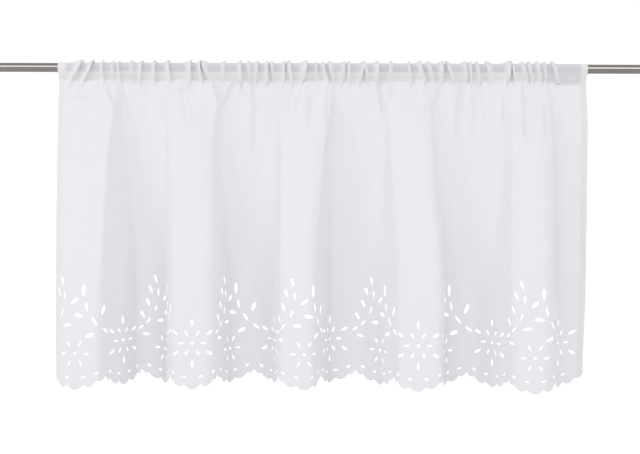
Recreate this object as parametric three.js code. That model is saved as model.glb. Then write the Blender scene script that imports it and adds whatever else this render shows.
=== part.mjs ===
// A short sheer curtain (a cafe curtain) gathered on a plain round rod.
//
// The curtain is one length of cloth. Its top is turned over to the back and sewn down as a pocket that the rod
// runs through, its sides hang plain, and its lower edge is cut in scallops.
//
// Frame, in millimetres: the origin is on the rod's axis at mid-span, +X runs along the rod, +Z is up, and the
// curtain's face looks towards -Y.

import * as THREE from 'three';

// ---------------------------------------------------------------- driving dimensions

const ROD = { radius: 7, length: 1000, chamfer: 1, sides: 24 };

const CLOTH = { width: 1200, drop: 480, thickness: 1 }; // width and drop of the cloth laid flat

const SCALLOPS = { count: 14, depth: 18.5, slant: 5 }; // slant: how much lower the hem hangs at its right end

const POCKET = { gap: 0.35, seamDepth: 18, squash: 0.55 }; // squash: how flat its pleats are pressed on the rod

const SPAN = 784; // width of the hung curtain

// Small pleats on the rod: cloth is the length of cloth in one, uneven the share by which that varies, and wander how
// far one strays from its even place. Outside plainLeft and plainRight, in scallops from the left edge, the cloth
// stays plain.
const PLEATS = { perScallop: 3, cloth: 18, uneven: 0.1, wander: 2.5, plainLeft: 0.3, plainRight: 13.45 };

// The folds near the hem, from left to right. Each row is a stretch of cloth with a steady slope: from and to count
// scallops from the left edge, and slope is in degrees, positive where the cloth comes forward. Between the
// stretches the cloth bends evenly.
const FOLDS = [
  { part: 'rise', from: 0.0, to: 0.16, slope: 58 },
  { part: 'crest', from: 0.46, to: 0.92, slope: 0 },
  { part: 'fall', from: 1.0, to: 1.9, slope: -61 },
  { part: 'trough', from: 2.16, to: 2.18, slope: 0 },

  { part: 'rise', from: 2.62, to: 3.04, slope: 70 },
  { part: 'crest', from: 3.38, to: 3.72, slope: -8 },
  { part: 'fall', from: 3.96, to: 4.46, slope: -68 },
  { part: 'trough', from: 4.9, to: 5.06, slope: 0 },

  { part: 'rise', from: 5.48, to: 6.0, slope: 76 },
  { part: 'crest', from: 6.18, to: 6.5, slope: 8 },
  { part: 'fall', from: 6.76, to: 7.48, slope: -70 },
  { part: 'trough', from: 7.66, to: 8.05, slope: 5 },

  { part: 'rise', from: 8.56, to: 9.08, slope: 64 },
  { part: 'crest', from: 9.36, to: 9.78, slope: 0 },
  { part: 'fall', from: 10.0, to: 10.46, slope: -78 },
  { part: 'trough', from: 10.86, to: 10.96, slope: 5 },

  { part: 'rise', from: 11.58, to: 12.06, slope: 66 },
  { part: 'crest', from: 12.32, to: 12.62, slope: 0 },
  { part: 'fall', from: 13.0, to: 13.42, slope: -72 },
  { part: 'trough', from: 13.76, to: 14.0, slope: -10 },
];

// How the pleats under the seam open into the folds of the hem. Each row is one height: below is its distance under
// the rod's axis, across says how far the cloth has moved sideways from its place on the rod to its place in the
// hem, forward how deep the folds are, and pleats how much of the small pleats is left.
const LEVELS = [
  { below: POCKET.seamDepth, across: 0, forward: 0, pleats: 1 },
  { below: 45, across: 0.2, forward: 0.14, pleats: 0.75 },
  { below: 66, across: 0.34, forward: 0.22, pleats: 0.55 },
  { below: 90, across: 0.48, forward: 0.3, pleats: 0.38 },
  { below: 122, across: 0.64, forward: 0.41, pleats: 0.22 },
  { below: 160, across: 0.79, forward: 0.54, pleats: 0.1 },
  { below: 250, across: 0.95, forward: 0.86, pleats: 0 },
  { below: 350, across: 1, forward: 1, pleats: 0 },
  { below: 'hem', across: 1, forward: 1, pleats: 0 },
];

// ---------------------------------------------------------------- sizes worked out from the driving dimensions

const PITCH = CLOTH.width / SCALLOPS.count;
const HALF_CLOTH = CLOTH.thickness / 2;
const MITRE_LIMIT = 1.5;

// The pocket is an eight-sided loop, so its corners lie further out than its flats, which clear the rod.
const LOOP_STEP = Math.PI / 4;
const POCKET_RADIUS = (ROD.radius + POCKET.gap) / Math.cos(LOOP_STEP / 2) + HALF_CLOTH * 1.3;
const HEADING_TOP = POCKET_RADIUS + HALF_CLOTH;
const SCALLOP_TIP = HEADING_TOP - CLOTH.drop;

// ---------------------------------------------------------------- pleats on the rod

function makePleats() {
  const pleats = [];
  for (let i = 0; i < SCALLOPS.count * PLEATS.perScallop; i += 1) {
    const centre = (i + 0.5) / PLEATS.perScallop + (PLEATS.wander / PITCH) * Math.sin(2.4 * i + 0.6);
    const cloth = PLEATS.cloth * (1 + PLEATS.uneven * Math.sin(1.9 * i + 1));
    const half = cloth / 2 / PITCH;
    const plain = centre < PLEATS.plainLeft || centre > PLEATS.plainRight;
    pleats.push({ centre, cloth, plain, from: centre - half, to: centre + half });
  }
  return pleats;
}

const PLEAT_PLACES = makePleats();
const SEWN_PLEATS = PLEAT_PLACES.filter(({ plain }) => !plain);
const CLOTH_IN_PLEATS = SEWN_PLEATS.reduce((sum, { cloth }) => sum + cloth, 0);

// The plain stretches lie flat on the rod, so the pleats share what is left of the hung width.
const PLEAT_WIDTH = (SPAN - (CLOTH.width - CLOTH_IN_PLEATS)) / SEWN_PLEATS.length;

function pleatHeight(u) {
  const pleat = SEWN_PLEATS.find(({ from, to }) => u > from && u < to);
  if (!pleat) return 0;
  const tip = Math.sqrt((pleat.cloth / 2) ** 2 - (PLEAT_WIDTH / 2) ** 2);
  const fromFoot = Math.min(u - pleat.from, pleat.to - u);
  return (tip * fromFoot) / (pleat.centre - pleat.from);
}

// Place across the rod, from the cloth's left edge, of the cloth at u scallops.
function acrossOnRod(u) {
  let across = u * PITCH;
  for (const { from, to, cloth } of SEWN_PLEATS) {
    const passed = THREE.MathUtils.clamp((u - from) / (to - from), 0, 1);
    across -= passed * (cloth - PLEAT_WIDTH);
  }
  return across;
}

// Columns of the mesh: the feet and the tip of each pleat, and the corners between scallops.
function makeColumns() {
  const columns = [];
  for (let corner = 0; corner <= SCALLOPS.count; corner += 1) columns.push(corner);
  for (const { from, centre, to } of PLEAT_PLACES) columns.push(from, centre, to);
  return columns.sort((a, b) => a - b);
}

const COLUMNS = makeColumns();

// ---------------------------------------------------------------- folds of the hem

const FOLD_STATIONS = FOLDS.flatMap(({ from, to, slope }) => [{ at: from, slope }, { at: to, slope }]);
const STEPS_PER_COLUMN = 8;

function foldSlope(u) {
  const next = FOLD_STATIONS.findIndex((station) => station.at >= u);
  if (next <= 0) return FOLD_STATIONS[0].slope;
  const a = FOLD_STATIONS[next - 1];
  const b = FOLD_STATIONS[next];
  return THREE.MathUtils.mapLinear(u, a.at, b.at, a.slope, b.slope);
}

// Follows the hem from the cloth's left edge, and gives each column's place across and how far it comes forward.
// steepness scales all the slopes together.
function walkAcross(steepness) {
  const line = [{ across: 0, forward: 0 }];
  for (let c = 1; c < COLUMNS.length; c += 1) {
    const step = (COLUMNS[c] - COLUMNS[c - 1]) / STEPS_PER_COLUMN;
    let { across, forward } = line[c - 1];
    for (let s = 0; s < STEPS_PER_COLUMN; s += 1) {
      const slope = THREE.MathUtils.degToRad(foldSlope(COLUMNS[c - 1] + (s + 0.5) * step));
      across += Math.cos(slope * steepness) * step * PITCH;
      forward += Math.sin(slope * steepness) * step * PITCH;
    }
    line.push({ across, forward });
  }
  return line;
}

// Cloth doesn't stretch, so the slopes are made steeper or flatter until the folds span the hung width.
function hangHem() {
  let flatter = 0.5;
  let steeper = 1.15;
  for (let i = 0; i < 40; i += 1) {
    const middle = (flatter + steeper) / 2;
    if (walkAcross(middle).at(-1).across > SPAN) flatter = middle;
    else steeper = middle;
  }
  return walkAcross(steeper);
}

const HEM_LINE = hangHem();
const HEM_MEAN = HEM_LINE.reduce((sum, { forward }) => sum + forward, 0) / HEM_LINE.length;

function scallopDrop(u) {
  const half = PITCH / 2;
  const radius = (half * half + SCALLOPS.depth * SCALLOPS.depth) / (2 * SCALLOPS.depth);
  const x = (u - Math.floor(u)) * PITCH - half;
  return Math.sqrt(radius * radius - x * x) - (radius - SCALLOPS.depth);
}

function hemHeight(u) {
  return SCALLOP_TIP + SCALLOPS.depth - scallopDrop(u) - (SCALLOPS.slant * u) / SCALLOPS.count;
}

// ---------------------------------------------------------------- middle surface of the cloth

function panelRow(level) {
  return COLUMNS.map((u, c) => {
    const across = THREE.MathUtils.lerp(acrossOnRod(u), HEM_LINE[c].across, level.across);
    const forward = (HEM_LINE[c].forward - HEM_MEAN) * level.forward + pleatHeight(u) * level.pleats;
    const height = level.below === 'hem' ? hemHeight(u) : -level.below;
    return new THREE.Vector3(across - SPAN / 2, -forward, height);
  });
}

// Panel rows from the hem up to the seam.
const PANEL = LEVELS.map(panelRow).reverse();
const SEAM_ROW = PANEL.at(-1);

// Middle line of the pocket in section, from the seam's front layer over the rod to its back layer.
const BELLY = { y: 6.8, z: -8 };
const POCKET_SECTION = [
  { y: -BELLY.y, z: BELLY.z },
  { y: -POCKET_RADIUS, z: 0 },
  { y: -POCKET_RADIUS * Math.cos(LOOP_STEP), z: POCKET_RADIUS * Math.sin(LOOP_STEP) },
  { y: 0, z: POCKET_RADIUS },
  { y: POCKET_RADIUS * Math.cos(LOOP_STEP), z: POCKET_RADIUS * Math.sin(LOOP_STEP) },
  { y: POCKET_RADIUS, z: 0 },
  { y: BELLY.y, z: BELLY.z },
];

function pocketRow({ y, z }) {
  const outward = new THREE.Vector3(0, y, Math.max(z, 0)).normalize();
  return SEAM_ROW.map((seam) => {
    const height = -seam.y * POCKET.squash;
    return new THREE.Vector3(seam.x, y, z).addScaledVector(outward, height);
  });
}

function shifted(row, y) {
  return row.map((point) => new THREE.Vector3(point.x, point.y + y, point.z));
}

const FRONT_SEAM = shifted(SEAM_ROW, -HALF_CLOTH);
const BACK_SEAM = shifted(SEAM_ROW, HALF_CLOTH);
const POCKET_ROWS = [FRONT_SEAM, ...POCKET_SECTION.map(pocketRow), BACK_SEAM];

// ---------------------------------------------------------------- skins of the cloth

function stepBetween(from, to) {
  return to.clone().sub(from).normalize();
}

// Direction square to the cloth at one grid point, made longer where the cloth turns a corner so that its thickness
// stays the same. It points to the face that is in front where the rows run upwards.
function squareOut(rows, r, c) {
  const here = rows[r][c];
  const before = c > 0 ? stepBetween(rows[r][c - 1], here) : stepBetween(here, rows[r][1]);
  const after = c + 1 < rows[r].length ? stepBetween(here, rows[r][c + 1]) : before;
  const below = r > 0 ? stepBetween(rows[r - 1][c], here) : stepBetween(here, rows[1][c]);
  const above = r + 1 < rows.length ? stepBetween(here, rows[r + 1][c]) : below;
  const up = below.clone().add(above);
  const normal = before.clone().add(after).cross(up).normalize();
  const turn = normal.dot(after.clone().cross(up).normalize());
  return normal.multiplyScalar(Math.min(1 / Math.max(turn, 1 / MITRE_LIMIT), MITRE_LIMIT));
}

function offsetRows(rows, distance) {
  return rows.map((row, r) => row.map((p, c) => p.clone().addScaledVector(squareOut(rows, r, c), distance)));
}

const panelFront = offsetRows(PANEL, HALF_CLOTH);
const panelBack = offsetRows(PANEL, -HALF_CLOTH);
const pocketOuter = offsetRows(POCKET_ROWS, HALF_CLOTH);
const pocketInner = offsetRows(POCKET_ROWS, -HALF_CLOTH);

// The tunnel's lowest line lies on the seam, between the two layers.
const TUNNEL_LIFT = 0.6;
const tunnelFloor = SEAM_ROW.map((p) => new THREE.Vector3(p.x, p.y, p.z + TUNNEL_LIFT));

const outerSkin = [...panelFront.slice(0, -1), ...pocketOuter, ...panelBack.slice(0, -1).reverse()];
const tunnelSkin = [tunnelFloor, ...pocketInner.slice(1, -1)];

// ---------------------------------------------------------------- the curtain as one closed solid

class SkinBuilder {
  constructor() {
    this.positions = [];
    this.triangles = [];
  }

  addRows(rows) {
    return rows.map((row) => row.map((point) => this.positions.push(point.x, point.y, point.z) / 3 - 1));
  }

  addQuad(a, b, c, d) {
    this.triangles.push(a, b, c, a, c, d);
  }

  // Closes a sleeve between each row and the next, and from the last row back to the first. The back of the panel,
  // from row backFrom on, runs downwards, so its quads are cut the other way to match the front's.
  addOuterSleeve(rows, backFrom) {
    rows.forEach((row, r) => {
      const next = rows[(r + 1) % rows.length];
      for (let c = 0; c + 1 < row.length; c += 1) {
        if (r < backFrom) this.addQuad(row[c], row[c + 1], next[c + 1], next[c]);
        else this.addQuad(row[c + 1], next[c + 1], next[c], row[c]);
      }
    });
  }

  addInnerSleeve(rows) {
    rows.forEach((row, r) => {
      const next = rows[(r + 1) % rows.length];
      for (let c = 0; c + 1 < row.length; c += 1) this.addQuad(row[c], next[c], next[c + 1], row[c + 1]);
    });
  }

  geometry() {
    const geometry = new THREE.BufferGeometry();
    geometry.setAttribute('position', new THREE.Float32BufferAttribute(this.positions, 3));
    geometry.setIndex(this.triangles);
    geometry.computeVertexNormals();
    return geometry;
  }
}

// One side edge of the curtain: the panel's edge, the triangle on the seam and the ring of the pocket.
function addSideEdge(builder, outer, tunnel, column, faceLeft) {
  const rim = outer.map((row) => row[column]);
  const bore = tunnel.map((row) => row[column]);
  const panelRows = PANEL.length - 1;
  const last = rim.length - 1;
  const quad = (a, b, c, d) => (faceLeft ? builder.addQuad(a, b, c, d) : builder.addQuad(d, c, b, a));
  for (let r = 0; r < panelRows; r += 1) quad(rim[r], rim[r + 1], rim[last - r - 1], rim[last - r]);

  const front = panelRows;
  const back = last - panelRows;
  const floor = bore[0];
  const seam = [rim[front], floor, rim[back]];
  builder.triangles.push(...(faceLeft ? seam : seam.reverse()));
  for (let k = 0; k < bore.length; k += 1) {
    const inner = bore[k];
    const nextInner = bore[(k + 1) % bore.length];
    quad(rim[front + k], rim[front + k + 1], nextInner, inner);
  }
}

function curtainGeometry() {
  const builder = new SkinBuilder();
  const outer = builder.addRows(outerSkin);
  const tunnel = builder.addRows(tunnelSkin);
  builder.addOuterSleeve(outer, PANEL.length - 1 + POCKET_ROWS.length - 1);
  builder.addInnerSleeve(tunnel);
  addSideEdge(builder, outer, tunnel, 0, true);
  addSideEdge(builder, outer, tunnel, COLUMNS.length - 1, false);
  return builder.geometry();
}

function makeCurtain() {
  const voile = new THREE.MeshStandardMaterial({
    color: 0xf1f0f4, roughness: 0.85, metalness: 0, side: THREE.DoubleSide, transparent: true, opacity: 0.75,
  });
  const curtain = new THREE.Mesh(curtainGeometry(), voile);
  curtain.name = 'curtain';
  return curtain;
}

// ---------------------------------------------------------------- the rod

// A round bar with a small chamfer at each end, turned about its own axis and laid along X.
function makeRod() {
  const half = ROD.length / 2;
  const profile = [
    new THREE.Vector2(0, -half),
    new THREE.Vector2(ROD.radius - ROD.chamfer, -half),
    new THREE.Vector2(ROD.radius, -half + ROD.chamfer),
    new THREE.Vector2(ROD.radius, half - ROD.chamfer),
    new THREE.Vector2(ROD.radius - ROD.chamfer, half),
    new THREE.Vector2(0, half),
  ];
  const brushedSteel = new THREE.MeshStandardMaterial({ color: 0x9b928f, roughness: 0.35, metalness: 1 });
  const rod = new THREE.Mesh(new THREE.LatheGeometry(profile, ROD.sides), brushedSteel);
  rod.name = 'rod';
  rod.rotation.z = -Math.PI / 2;
  return rod;
}

// ---------------------------------------------------------------- the part

const group = new THREE.Group();
group.add(makeRod(), makeCurtain());

export default group;
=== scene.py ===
# %% [markdown]
# # A cafe curtain on its rod
#
# This notebook builds the looks of a short sheer curtain that hangs from a plain metal rod. The frame, a CAD model
# of the same two pieces, is loaded first and never moved. The cloth and the rod are then made again around it as
# detailed meshes with procedural materials.

# %% Load the frame
import math

import bpy
import numpy as np
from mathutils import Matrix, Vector
from mathutils.geometry import delaunay_2d_cdt


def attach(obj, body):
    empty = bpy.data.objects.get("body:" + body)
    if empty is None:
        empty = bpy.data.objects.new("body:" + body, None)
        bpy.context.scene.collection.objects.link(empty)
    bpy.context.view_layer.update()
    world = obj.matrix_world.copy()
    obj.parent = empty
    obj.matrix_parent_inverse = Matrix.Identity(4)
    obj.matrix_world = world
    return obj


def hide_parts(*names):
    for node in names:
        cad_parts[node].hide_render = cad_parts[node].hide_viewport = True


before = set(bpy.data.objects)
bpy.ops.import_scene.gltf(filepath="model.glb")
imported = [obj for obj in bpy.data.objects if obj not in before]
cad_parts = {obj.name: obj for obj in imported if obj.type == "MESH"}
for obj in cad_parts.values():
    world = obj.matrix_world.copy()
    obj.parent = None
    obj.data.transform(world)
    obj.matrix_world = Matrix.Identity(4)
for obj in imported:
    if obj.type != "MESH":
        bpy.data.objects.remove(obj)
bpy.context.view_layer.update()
MM = 0.001
print("frame nodes:", sorted(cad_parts))

# %% [markdown]
# ## Camera
#
# The curtain is seen square on, from the height of its middle. A level camera keeps the upright folds upright, so
# it isn't tilted, and a tiny roll gives the rod its slight slope. The camera stands close enough for the fronts of
# the folds to look larger than their backs.

# %% Place the camera
CAMERA = {"across": -3.3, "back": 1337.0, "height": -235.8, "lens": 50.6, "roll": 0.18}

camera_data = bpy.data.cameras.new("front_camera")
camera_data.lens = CAMERA["lens"]
camera = bpy.data.objects.new("front_camera", camera_data)
camera.location = (CAMERA["across"] * MM, -CAMERA["back"] * MM, CAMERA["height"] * MM)
camera.rotation_euler = (math.pi / 2, math.radians(-CAMERA["roll"]), 0)
bpy.context.collection.objects.link(camera)
bpy.context.scene.camera = camera
print("camera stands", CAMERA["back"], "mm in front of the rod")

# %% [markdown]
# ## The size of the cloth
#
# Cloth is cut flat and then hung, so every place on it is named by where it was on the flat cloth: how many
# scallops from the left edge, and how far above or below the rod. Two functions, one for the heading on the rod
# and one for the panel below it, say where each place hangs. The holes, hems and stitches go through the same
# functions, so they always lie in the cloth. All sizes are in millimetres, and MM turns them into metres.

# %% Name the sizes
ROD_RADIUS = 7.0
ROD_LENGTH = 1000.0
CLOTH_WIDTH = 1200.0
SPAN = 784.0
SCALLOPS = 14
PITCH = CLOTH_WIDTH / SCALLOPS
SEAM_DEPTH = 18.0
POCKET_RADIUS = 7.75
CUSP_HEIGHT = -452.4
HEM_SLANT = 5.0
FINE_STEPS = 5600

flat_u = np.linspace(0, SCALLOPS, FINE_STEPS + 1)
print("one scallop takes", round(PITCH, 1), "mm of cloth")

# %% [markdown]
# ## Folds of the hem
#
# The lower edge swings to and fro in five deep folds. A simulation would settle wherever it liked, so a short
# table says how steeply the cloth turns along its width, and adding up small steps in those directions draws the
# folded line. It keeps its true length, as cloth does, and one number, how steep all the turns are, is found by
# halving so that the folds fill the hung width.

# %% Chart the folds
FOLDS = [
    # from, to (scallops), slope (degrees, positive where the cloth comes forward)
    (0, 0.16, 58), (0.46, 0.92, 0), (1, 1.90, -61), (2.16, 2.18, 0),
    (2.62, 3.04, 70), (3.38, 3.72, -8), (3.96, 4.46, -68), (4.90, 5.06, 0),
    (5.48, 6, 76), (6.18, 6.50, 8), (6.76, 7.48, -70), (7.66, 8.05, 5),
    (8.56, 9.08, 64), (9.36, 9.78, 0), (10, 10.46, -78), (10.86, 10.96, 5),
    (11.58, 12.06, 66), (12.32, 12.62, 0), (13, 13.42, -72), (13.76, 14, -10),
]


def walk(slope):
    """Follow the cloth across its width; returns how far across and how far forward each place is."""
    step = np.diff(flat_u) * PITCH
    middle = (slope[1:] + slope[:-1]) / 2
    across = np.concatenate([[0], np.cumsum(np.cos(middle) * step)])
    forward = np.concatenate([[0], np.cumsum(np.sin(middle) * step)])
    return across, forward


HALVINGS = 40


def steepness_for(slope, width):
    """The factor on the slopes that makes the folded cloth exactly as wide as asked."""
    flatter, steeper = 0.4, 1.3
    for _ in range(HALVINGS):
        middle = (flatter + steeper) / 2
        if walk(slope * middle)[0][-1] > width:
            flatter = middle
        else:
            steeper = middle
    return middle


places = [place for start, end, _ in FOLDS for place in (start, end)]
slopes = [slope for _, _, slope in FOLDS for _ in range(2)]
fold_slope = np.radians(np.interp(flat_u, places, slopes))
fold_slope *= steepness_for(fold_slope, SPAN)
hem_across, hem_forward = walk(fold_slope)
hem_forward -= hem_forward.mean()
print("folds reach", round(hem_forward.max()), "mm forward and", round(-hem_forward.min()), "mm back")

# %% [markdown]
# ## Gathers on the rod
#
# A pocket pushed onto a thin rod bunches into many small gathers, each a narrow loop that stands off the rod, with
# flat stretches between. Their places are uneven, so a table says where each gather crosses the stitched line and
# the top of the rod, how large it is, and how far it leans over to one side. A gather's own section is drawn with
# the same walk as the folds.

# %% Chart the gathers
GATHERS = [
    # place at the seam, place over the rod (mm from mid-span), size, lean (positive to the right)
    (-376, -361, 1, 0.5), (-358, -345, 1, 0.6), (-327, -329, 0.9, 0.3), (-311, -309, 0.8, -0.2),
    (-301, -304, 0.6, 0.5), (-280, -283, 0.8, -0.3), (-274, -271, 0.8, 0.6), (-251, -251, 1, 0.25),
    (-229, -233, 1, 0.5), (-201, -201, 1, 0.7), (-181, -184, 0.9, 0.3), (-165, -176, 1, -0.4),
    (-147, -145, 0.8, -0.2), (-123, -125, 1, 0.4), (-107, -110, 0.8, -0.2), (-101, -98, 0.8, 0.4),
    (-85, -86, 0.9, 0.6), (-72, -75, 0.8, -0.2), (-60, -60, 0.8, 0.6), (-48, -54, 1, 0.5),
    (-34, -30, 1, 0.8), (-9, -9, 0.9, -0.2), (5, -3, 0.9, 0.5), (17, 11, 0.8, -0.3),
    (27, 30, 0.8, 0.5), (38, 36, 0.8, 0.4), (53, 58, 0.8, 0.6), (67, 62, 0.8, -0.2),
    (78, 78, 1, 0.5), (99, 104, 1, -0.4), (130, 125, 0.8, 0.5), (147, 138, 1, 0.8),
    (162, 154, 0.9, 0.5), (174, 174, 1, 0.5), (194, 185, 1, -0.2), (211, 207, 0.9, 0.6),
    (218, 216, 0.8, 0.5), (232, 226, 0.9, 0.4), (251, 245, 1, -0.3), (269, 272, 1.1, 0.7),
    (286, 281, 0.9, -0.2), (301, 292, 0.9, 0.6), (309, 304, 0.8, 0.4), (321, 315, 0.9, 0.5),
    (330, 327, 0.8, 0.4), (350, 341, 1, -0.2),
]
GATHERED_CLOTH = 790.0
STANDS, LIES = 0.75, 1.6
print(len(GATHERS), "gathers")


def gather_slopes():
    """Slope of the cloth across the rod, the gathers' middles, and how far they shift and lean."""
    seams, tops, sizes, leans = (np.array(column, float) for column in zip(*GATHERS))
    cloth = sizes * GATHERED_CLOTH / sizes.sum()
    width = cloth * (SPAN - (CLOTH_WIDTH - GATHERED_CLOTH)) / GATHERED_CLOTH
    left_edges = seams + SPAN / 2 - width / 2
    flats = np.diff(np.concatenate([[0], left_edges])) - np.concatenate([[0], width[:-1]])
    middles = (np.cumsum(flats + cloth) - cloth / 2) / PITCH
    slope, lie = np.zeros_like(flat_u), np.zeros_like(flat_u)
    for middle, length, lean in zip(middles, cloth, leans):
        place = (flat_u - middle) * PITCH / (length / 2)
        inside = abs(place) < 1
        slope[inside] -= np.sin(math.pi * place[inside]) * math.pi / 2
        lie[inside] = lean
    return slope, middles, tops - seams, lie


rod_slope, gather_middles, gather_shifts, lie_across = gather_slopes()
rod_slope *= steepness_for(rod_slope, SPAN)
rod_across, gather_height = walk(rod_slope)
gather_height *= STANDS
lie_across *= LIES
lean_across = np.interp(flat_u, [0, *gather_middles, SCALLOPS], [0, *gather_shifts, 0])
print("gathers stand", round(gather_height.max(), 1), "mm off the rod")

# %% [markdown]
# ## From gathers to folds
#
# Under the seam the small gathers melt away and the deep folds grow. Each height down the curtain gets four
# shares: how far the cloth has moved sideways towards its place in the hem, how deep the folds are, how far their
# sides have spread, and how much of the gathers is left. A running average rounds off the table's corners.

# %% Blend by height
LEVELS = [
    # below the rod (mm), sideways, folds, spread, gathers
    (18, 0, 0.04, 0, 1), (22, 0.03, 0.05, 0, 0.4), (28, 0.07, 0.07, 0, 0.14),
    (38, 0.15, 0.1, 0, 0.03), (50, 0.23, 0.15, 0, 0), (66, 0.34, 0.21, 0.03, 0),
    (90, 0.48, 0.28, 0.08, 0), (122, 0.64, 0.38, 0.18, 0), (160, 0.79, 0.46, 0.34, 0),
    (200, 0.88, 0.56, 0.56, 0), (250, 0.95, 0.7, 0.85, 0), (320, 1, 0.87, 1, 0),
    (400, 1, 1, 1, 0),
]
ROUNDING = 9
DEEPEST = 500.0
depths = np.arange(0, DEEPEST + 1)


def level_share(column):
    """One column of the table, for every millimetre of depth, with its corners rounded."""
    share = np.interp(depths, [row[0] for row in LEVELS], [row[column] for row in LEVELS])
    padded = np.pad(share, ROUNDING // 2, mode="edge")
    smooth = np.convolve(padded, np.ones(ROUNDING) / ROUNDING, mode="valid")
    fade = np.clip((depths - SEAM_DEPTH) / ROUNDING, 0, 1)
    return share * (1 - fade) + smooth * fade


SIDEWAYS, DEEP, SPREAD, GATHERED = (level_share(column) for column in range(1, 5))
print("half-way down the folds have", round(DEEP[len(DEEP) // 2] * 100), "% of their depth")

# %% [markdown]
# ## The relief of the panel
#
# Near the rod each side of a fold is pinched to a narrow crease, and small creases run in beside it and die out.
# They don't follow the threads, so they are kept as a relief map: how far forward the cloth stands, for every
# millimetre across and down. The folds are drawn in it first, with their pinched places from one table, and the
# small creases are added as soft steps from another.

# %% Draw the relief
PINCH_DEPTHS = (18.0, 65.0, 120.0)
PINCHES = [
    # place in the hem (scallops), then where it is at the three depths (mm from mid-span)
    (0, -392, -392, -393), (0.46, -362, -364, -366), (0.92, -312, -310, -312), (1, -309, -308, -313),
    (1.90, -300, -300, -297), (2.16, -296, -294, -290), (2.62, -232, -235, -234), (3.04, -227, -230, -228),
    (3.38, -222, -222, -220), (3.96, -161, -158, -165), (4.46, -154, -151, -156), (4.90, -120, -125, -130),
    (5.06, -96, -100, -100), (5.48, -66, -70, -68), (6, -60, -64, -61), (6.18, -52, -56, -52),
    (6.50, -20, -20, -24), (6.76, 10, 12, 4), (7.48, 18, 18, 12), (7.66, 24, 24, 22),
    (8.05, 66, 62, 60), (8.56, 90, 92, 93), (9.08, 97, 98, 99), (9.36, 110, 110, 108),
    (9.78, 142, 145, 145), (10, 150, 159, 160), (10.46, 157, 166, 167), (10.86, 190, 195, 200),
    (10.96, 206, 220, 222), (11.58, 262, 271, 274), (12.06, 269, 278, 281), (12.32, 282, 290, 296),
    (12.62, 306, 310, 316), (13, 328, 337, 340), (13.42, 336, 344, 347), (13.76, 354, 362, 366),
    (14, 392, 392, 392),
]
CREASES = [
    # starts across, down; ends across, down; half-width; step forward (mm, negative where it falls back)
    (-355, 12, -358, 44, 1.6, 7.5), (-358, 44, -357, 72, 1.8, 5.5), (-359, 44, -375, 84, 2.4, 6),
    (-327, 12, -328, 38, 1.6, 7.5), (-328, 36, -335, 66, 3, 7.9), (-319, 12, -318, 40, 1.5, -6.5),
    (-318, 38, -307, 58, 1.6, -7.5), (-305, 20, -299, 46, 1.6, -6.5), (-299, 44, -304, 58, 1.6, -4.9),
    (-286, 40, -286, 86, 2, -3), (-265, 18, -265, 37, 1.8, -4.9), (-256, 25, -256, 88, 4, 3.4),
    (-227, 16, -232, 66, 1.4, 6), (-202, 12, -202, 36, 1.7, 10.9), (-201, 34, -187, 102, 4, 14),
    (-217, 38, -217, 62, 2, 4.5), (-165, 16, -151, 58, 1.7, -8.5), (-135, 22, -150, 58, 1.7, -8.5),
    (-120, 22, -117, 38, 1.5, 7.9), (-107, 22, -104, 58, 1.6, -6.5), (-104, 56, -106, 120, 2.4, -4.5),
    (-30, 16, -46, 80, 5, 15.9), (-21, 44, -21, 92, 2.6, -4.9), (-5, 44, -5, 72, 2.6, 4.5),
    (6, 38, 6, 92, 2.4, -4.5), (50, 66, 50, 136, 2.6, 4), (80, 22, 89, 68, 1.8, -8.5),
    (101, 30, 95, 56, 1.8, -6), (111, 36, 111, 92, 3, 6.5), (141, 14, 132, 70, 6, 16.5),
    (172, 22, 165, 54, 1.8, -6.5), (203, 25, 197, 106, 2.4, -5.5), (209, 26, 212, 160, 2.2, 7.5),
    (225, 24, 225, 88, 2.4, -4.9), (236, 26, 243, 78, 2.4, 7.5), (268, 44, 268, 86, 2, -4.5),
    (296, 18, 295, 86, 1.8, -7.5), (295, 84, 300, 112, 2.4, -7.5), (304, 48, 315, 118, 2.8, 7.9),
    (327, 54, 327, 94, 2.6, -4),
]
EASE_BACK = 5.0  # in half-widths
RUN = {"from": -0.1, "fades_in": 10, "full_until": 0.8, "fades_out": 2.2, "to": 1.25}  # in lengths of it
MAP_MARGIN = 10
MAP_EDGE = 1.001  # keeps every place read off the map inside it

relief_places = np.arange(-MAP_MARGIN, SPAN + MAP_MARGIN + 1)


def fold_relief(depth):
    """The folds at one depth: a place in the hem stands nearer its pinched place the higher up it is."""
    us, *levels = zip(*PINCHES)
    pinched = [np.interp(flat_u, us, level) + SPAN / 2 for level in levels]
    share = np.interp(depth, PINCH_DEPTHS, range(len(PINCH_DEPTHS)))
    upper = min(int(share), len(PINCH_DEPTHS) - 2)
    pinch = pinched[upper] * (1 + upper - share) + pinched[upper + 1] * (share - upper)
    spread = np.interp(depth, depths, SPREAD)
    places = pinch * (1 - spread) + hem_across * spread
    return np.interp(depth, depths, DEEP) * np.interp(relief_places, places, hem_forward)


def crease_relief(depth):
    """The small creases at one depth. Each is a soft step that eases back on both sides."""
    relief = np.zeros_like(relief_places)
    for start, start_depth, end, end_depth, half_width, step in CREASES:
        share = (depth - start_depth) / (end_depth - start_depth)
        if not RUN["from"] < share < RUN["to"]:
            continue
        fade_in = max(0.0, 1 + RUN["fades_in"] * share)
        fade_out = max(0.0, 1 - RUN["fades_out"] * (share - RUN["full_until"]))
        strength = min(1.0, fade_in, fade_out)
        away = (relief_places - SPAN / 2 - start - (end - start) * share) / half_width
        relief += strength * step * (np.tanh(away) - np.tanh(away / EASE_BACK)) / 2
    return relief


START_OF_RELIEF = 7.0
RELIEF = np.array([fold_relief(depth) + crease_relief(depth) for depth in depths])
RELIEF *= np.clip((depths - SEAM_DEPTH) / START_OF_RELIEF, 0, 1)[:, None]
print("relief map of", RELIEF.size, "places, from", round(RELIEF.min()), "to", round(RELIEF.max()), "mm")

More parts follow.
